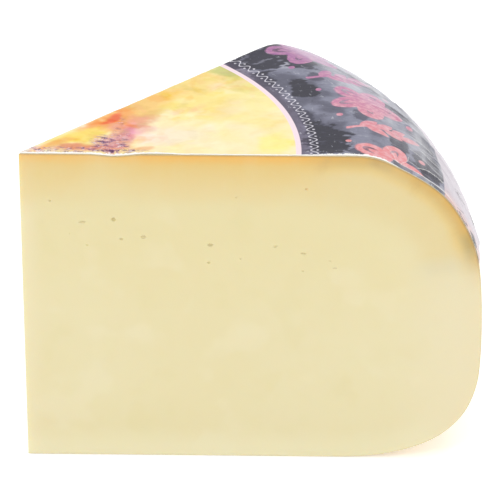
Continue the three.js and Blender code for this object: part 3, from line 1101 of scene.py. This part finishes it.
def sheet_material():
    n = Nodes("printed_sheet")
    s_mm = n.attr("s")
    flat = n.attr("flat", "Vector")
    fe, be = n.attr("fe"), n.attr("be")
    shift = n.attr("shift")
    s = n.m("DIVIDE", s_mm, R)
    deg = n.m("ADD", n.m("MULTIPLY", n.attr("a"), 180 / math.pi), n.m("MULTIPLY", shift, 8.0))
    p = n.vm("SCALE", flat, scale=R)  # mm in the flat sheet
    K = PRINT_K

    # ---- the painted fields, with the brush's finer marks
    paint = n.attr("paint", "Vector")
    fine = n.noise(n.vm("MULTIPLY", flat, (1.0, 1.6, 1.0)), 70.0, 4.0, 0.65)
    c = n.vm("SCALE", paint, scale=n.m("MULTIPLY_ADD", n.m("SUBTRACT", fine, 0.5), n.ramp(s, 0.59, 0.61, 0.10, 0.50), K))
    fleck = n.attr("fleck")
    dabs = n.vm("MULTIPLY", flat, (1.0, 1.9, 1.0))
    d1 = n.noise(dabs, 52.0, 4.0, 0.72)
    d2 = n.noise(n.vm("ADD", dabs, (3.1, 1.7, 0)), 66.0, 3.0, 0.65)
    c = n.mix(c, shade(216, 132, 140, k=K), n.m("MULTIPLY", fleck, n.ramp(d2, 0.42, 0.56, 0.0, 0.8)))
    c = n.mix(c, shade(140, 84, 130, k=K), n.m("MULTIPLY", fleck, n.ramp(d1, 0.48, 0.56, 0.0, 0.95)))
    c = n.mix(c, shade(66, 38, 72, k=K), n.m("MULTIPLY", fleck, n.ramp(d1, 0.555, 0.62, 0.0, 0.95)))
    c = n.mix(c, shade(252, 240, 236, k=K), n.m("MULTIPLY", fleck, n.ramp(d2, 0.565, 0.62, 0.0, 0.9)))

    # ---- dry white and dark bristle marks on the slate
    field = n.ramp(s, 0.604, 0.612)
    polar = n.xyz(n.m("MULTIPLY", deg, 0.0175), s, 0.0)
    streaks = n.noise(n.vm("MULTIPLY", polar, (26.0, 70.0, 1.0)), 1.0, 4.0, 0.72)
    c = n.mix(c, shade(196, 198, 208, k=K), n.m("MULTIPLY", field, n.ramp(streaks, 0.60, 0.70, 0.0, 0.6)))
    c = n.mix(c, shade(44, 44, 58, k=K), n.m("MULTIPLY", field, n.ramp(streaks, 0.42, 0.30, 0.0, 0.45)))

    # ---- painted glints and painted shade: fine pale and dark lines down the shoulder, where the film puckers; the same pattern also bumps the surface
    pucker_relief_and_glints = n.xyz(n.m("MULTIPLY_ADD", s_mm, 0.10, n.m("MULTIPLY", n.attr("a"), R * 0.50)), n.m("MULTIPLY", s_mm, 0.055), 0.0)
    pucker_relief_and_glints = n.noise(pucker_relief_and_glints, 1.0, 5.0, 0.68)
    bend = n.m("MULTIPLY", field, n.ramp(s_mm, 128.0, 148.0))
    c = n.mix(c, shade(190, 192, 201, k=K), n.m("MULTIPLY", bend, n.ramp(pucker_relief_and_glints, 0.56, 0.68, 0.0, 0.60)))
    c = n.mix(c, shade(58, 56, 74, k=K), n.m("MULTIPLY", bend, n.ramp(pucker_relief_and_glints, 0.44, 0.32, 0.0, 0.50)))

    # ---- the flowers and sprigs, coral turning to orchid
    wob = n.m("MULTIPLY_ADD", n.noise(flat, 60.0, 3.0, 0.6), 0.005, -0.0025)
    flower = n.m("MULTIPLY", n.ramp(n.m("ADD", n.attr("flower"), wob), 0.0010, -0.0010), field)
    rose = n.mix(shade(232, 136, 140, k=K), shade(190, 114, 160, k=K), n.ramp(deg, 5.0, 27.0))
    rose = n.mix(rose, shade(160, 96, 158, k=K), n.ramp(deg, 27.0, 41.0, 0.0, 0.85))
    rose = n.mix(rose, shade(240, 186, 192, k=K), n.m("MULTIPLY", n.ramp(deg, 12.0, 38.0, 0.75, 0.30), n.ramp(fine, 0.40, 0.66)))
    petal = n.m("MULTIPLY", n.ramp(n.m("ADD", n.attr("petal"), wob), 0.0010, -0.0010), field)
    c = n.mix(c, rose, n.m("MULTIPLY", petal, n.ramp(streaks, 0.35, 0.55, 0.10, 0.40)))
    c = n.mix(c, rose, n.m("MULTIPLY", flower, n.ramp(streaks, 0.28, 0.40, 0.60, 0.95)))
    # Painted glints of the puckered film, over the flowers too.
    c = n.mix(c, shade(236, 218, 224, k=K), n.m("MULTIPLY", bend, n.ramp(pucker_relief_and_glints, 0.62, 0.72, 0.0, 0.45)))

    # Painted sheen: the print turns pale grey where the far shoulder would show a grazing reflection, and in
    # streaky glints.
    c = n.mix(c, shade(206, 206, 213, k=K), n.m("MULTIPLY", n.attr("print_sheen"), 0.62))

    # ---- a fine running line beside the pale ring
    along = n.m("MULTIPLY", deg, 1 / 2.9)
    wave = n.m("MULTIPLY", n.m("SINE", n.m("MULTIPLY", along, 2 * math.pi)), 0.0080)
    off = n.m("SUBTRACT", n.m("SUBTRACT", s, 0.6355), wave)
    thread = n.ramp(n.m("ABSOLUTE", off), 0.0024, 0.0012)
    spot = n.m("MULTIPLY", n.m("SUBTRACT", n.m("FRACT", n.m("ADD", n.m("MULTIPLY", along, 2.0), 0.0)), 0.5), 0.0162)
    spot = n.vm("LENGTH", n.xyz(spot, n.m("ADD", off, n.m("MULTIPLY", wave, 1.9))))
    thread = n.m("MAXIMUM", thread, n.ramp(spot, 0.0034, 0.0022))
    c = n.mix(c, shade(226, 222, 233, k=K), n.m("MULTIPLY", thread, n.ramp(fine, 0.35, 0.6, 0.55, 0.95)))

    # ---- the outer field: near white, with small dark marks
    outer = n.mix(shade(212, 192, 198, k=K), shade(190, 172, 180, k=K), n.ramp(fine, 0.35, 0.7))
    outer = n.mix(outer, shade(194, 193, 203, k=K), n.ramp(fe, 3.0, 11.0, 0.0, 0.55))
    outer = n.mix(outer, shade(226, 186, 172, k=K), n.ramp(fe, 6.0, 0.8, 0.0, 0.65))
    cell = n.m("SUBTRACT", n.m("FRACT", n.m("DIVIDE", n.m("ADD", deg, 2.1), 5.2)), 0.5)
    cell = n.m("MULTIPLY", cell, 5.2 * math.pi / 180)
    bud = n.vm("LENGTH", n.xyz(n.m("DIVIDE", cell, 0.0065), n.m("DIVIDE", n.m("SUBTRACT", s, 1.012), 0.0175)))
    mark = n.ramp(n.m("ABSOLUTE", n.m("SUBTRACT", bud, 1.0)), 0.30, 0.16)
    tail = n.m("ABSOLUTE", n.m("SUBTRACT", n.m("ABSOLUTE", cell), n.m("MULTIPLY_ADD", n.m("SUBTRACT", s, 0.985), 0.75, 0.006)))
    tail = n.m("MULTIPLY", n.ramp(tail, 0.0018, 0.0008), n.ramp(n.m("ABSOLUTE", n.m("SUBTRACT", s, 1.000)), 0.0165, 0.0150))
    mark = n.m("MAXIMUM", mark, tail)
    outer = n.mix(outer, shade(62, 50, 68, k=K), n.m("MULTIPLY", mark, n.ramp(fine, 0.35, 0.6, 0.6, 0.95)))
    dash = n.m("ABSOLUTE", n.m("SUBTRACT", n.m("FRACT", n.m("DIVIDE", n.m("ADD", deg, 2.1), 5.2)), 0.5))
    dash = n.m("ADD", n.m("DIVIDE", dash, 0.170), n.m("DIVIDE", n.m("ABSOLUTE", n.m("SUBTRACT", s, 1.068)), 0.026))
    outer = n.mix(outer, shade(16, 12, 20, k=K), n.ramp(dash, 1.08, 0.92, 0.0, 0.96))

    ring = n.m("MULTIPLY", n.ramp(s, 0.5950, 0.5962), n.ramp(s, 0.6080, 0.6068))
    c = n.mix(c, shade(248, 226, 234, k=K), ring)
    c = n.mix(c, outer, n.ramp(s, 0.9394, 0.9406))

    # ---- wear and painted highlight: bare paper along the cuts, and white on the sharpest creases that is partly cracked paper and partly a painted highlight on the ridge
    rag = n.noise(p, 0.62, 4.0, 0.72)
    lift = n.m("MULTIPLY_ADD", rag, 4.6, -1.55)
    wide = n.curve(
        n.m("DIVIDE", s_mm, 200.0, clamp=True),
        [(0.0, 0.40), (0.05, 0.75), (0.16, 0.85), (0.26, 0.60), (0.30, 0.15), (0.52, 0.12), (0.57, 0.70),
         (0.62, 1.10), (0.675, 0.95), (0.71, 0.12), (0.76, 0.06), (0.9, 0.10), (1.0, 0.30)],
    )  # fmt: skip
    reach = n.m("ADD", n.m("MULTIPLY", wide, lift), n.ramp(s_mm, 132.0, 145.0, 0.32, -0.05))
    bare_paper_and_glint = n.ramp(n.m("SUBTRACT", fe, reach), 0.10, -0.10)
    bare_paper_and_glint = n.m("MAXIMUM", bare_paper_and_glint, n.ramp(n.m("SUBTRACT", be, n.m("MULTIPLY_ADD", rag, 0.5, 0.0)), 0.08, -0.08))
    craze = n.noise(p, 1.1, 3.0, 0.6)
    sway = n.m("MULTIPLY_ADD", n.noise(p, 0.22, 2.0, 0.5), 1.5, -0.75)
    jog = n.m("ADD", n.attr("crack"), n.m("MULTIPLY_ADD", craze, 0.5, -0.25))
    crack_and_glint = n.attr("crack_and_glint")
    sharp = n.ramp(crack_and_glint, 0.84, 0.95)  # the pleat's own line is straight and unbroken
    jog = n.m("ADD", jog, n.m("MULTIPLY", sway, n.m("SUBTRACT", 1.0, sharp)))
    # The crease lines painted white: partly cracked paper, partly a painted highlight on the ridge.
    fold = n.m("MULTIPLY", n.ramp(n.m("ABSOLUTE", jog), 0.27, 0.11), crack_and_glint)
    bare_paper_and_glint = n.m("MAXIMUM", bare_paper_and_glint, n.m("MULTIPLY", fold, n.m("MAXIMUM", sharp, n.ramp(craze, 0.34, 0.50))))
    c = n.mix(c, shade(255, 253, 249, k=K), bare_paper_and_glint)
    c = n.mix(c, shade(246, 240, 228, k=K), n.m("MULTIPLY", n.attr("under"), n.ramp(s_mm, 140.0, 158.0, 1.0, 0.35)))
    n.set(Base_Color=c)

    crinkle = n.noise(p, 0.35, 4.0, 0.6)
    crinkle = n.m("MULTIPLY_ADD", n.m("MULTIPLY", pucker_relief_and_glints, bend), 1.2, crinkle)
    n.set(Normal=n.bump(n.m("MULTIPLY", crinkle, n.ramp(s_mm, 110.0, 150.0, 0.25, 1.0)), 0.30, 0.0004))
    n.set(Roughness=n.m("MULTIPLY_ADD", bare_paper_and_glint, 0.4, 0.30))
    b = n.bsdf.inputs
    b["Specular IOR Level"].default_value = 0.22
    b["Coat Weight"].default_value = 0.14
    b["Coat Roughness"].default_value = 0.08
    return n.mat


cheese.data.materials.append(cheese_material())
sheet.data.materials.append(sheet_material())

# ---------------------------------------------------------------- the frame's names
for piece, node, slot in ((cheese, "cheese", "cheese"), (sheet, "top_label", "label")):
    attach(piece, "root")
    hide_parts(node)

# ---------------------------------------------------------------- floor, light, camera
floor_mesh = bpy.data.meshes.new("floor")
floor_mesh.from_pydata([(-6, -6, 0), (6, -6, 0), (6, 6, 0), (-6, 6, 0)], [], [(0, 1, 2, 3)])
floor = bpy.data.objects.new("floor", floor_mesh)
bpy.context.scene.collection.objects.link(floor)
floor.location.z = -0.0002
fm = bpy.data.materials.new("floor_white")
fm.use_nodes = True
fb = fm.node_tree.nodes["Principled BSDF"]
fb.inputs["Base Color"].default_value = (0.90, 0.90, 0.91, 1)
fb.inputs["Roughness"].default_value = 0.9
fb.inputs["Specular IOR Level"].default_value = 0.1
fb.inputs["Emission Color"].default_value = (1, 1, 1, 1)
fb.inputs["Emission Strength"].default_value = 0.33
floor_mesh.materials.append(fm)

world = bpy.data.worlds.new("studio")
bpy.context.scene.world = world
world.use_nodes = True
world.node_tree.nodes["Background"].inputs["Color"].default_value = (1, 1, 1, 1)
world.node_tree.nodes["Background"].inputs["Strength"].default_value = 1.0


def area(name, location, target, size, power):
    data = bpy.data.lights.new(name, "AREA")
    data.shape = "SQUARE"
    data.size = size
    data.energy = power
    ob = bpy.data.objects.new(name, data)
    bpy.context.scene.collection.objects.link(ob)
    ob.location = location
    ob.rotation_euler = (Vector(target) - Vector(location)).to_track_quat("-Z", "Y").to_euler()
    return ob


area("key", (-0.9, -1.5, 1.7), (0, 0, 0.06), 0.5, 6)
area("top", (0.5, 0.7, 1.9), (0, 0, 0.1), 0.5, 4)

# The camera stands far off with a long lens.
FOCAL_PX, ELEV, AZ, DIST, TX, TZ, ROLL = 4925.29, 28.509, 2.026, 10.6526, 0.49568, 0.51881, -0.4553
a, el = math.radians(AZ), math.radians(ELEV)
back = Vector((math.sin(a) * math.cos(el), -math.cos(a) * math.cos(el), math.sin(el)))
target = Vector((TX, 0, TZ)) * R * MM + Vector(APEX)
right = (-back).cross(Vector((0, 0, 1))).normalized()
up = right.cross(-back)
ro = math.radians(ROLL)
rv, uv = right * math.cos(ro) + up * math.sin(ro), -right * math.sin(ro) + up * math.cos(ro)
cam_data = bpy.data.cameras.new("camera")
cam_data.sensor_width = 36.0
cam_data.lens = FOCAL_PX / 500 * 36.0
cam_data.clip_end = 50
cam = bpy.data.objects.new("camera", cam_data)
bpy.context.scene.collection.objects.link(cam)
m = Matrix((rv, uv, back)).transposed().to_4x4()
m.translation = target + back * DIST * R * MM
cam.matrix_world = m
bpy.context.scene.camera = cam

bpy.context.scene.view_settings.view_transform = "Standard"
bpy.context.scene.view_settings.look = "None"
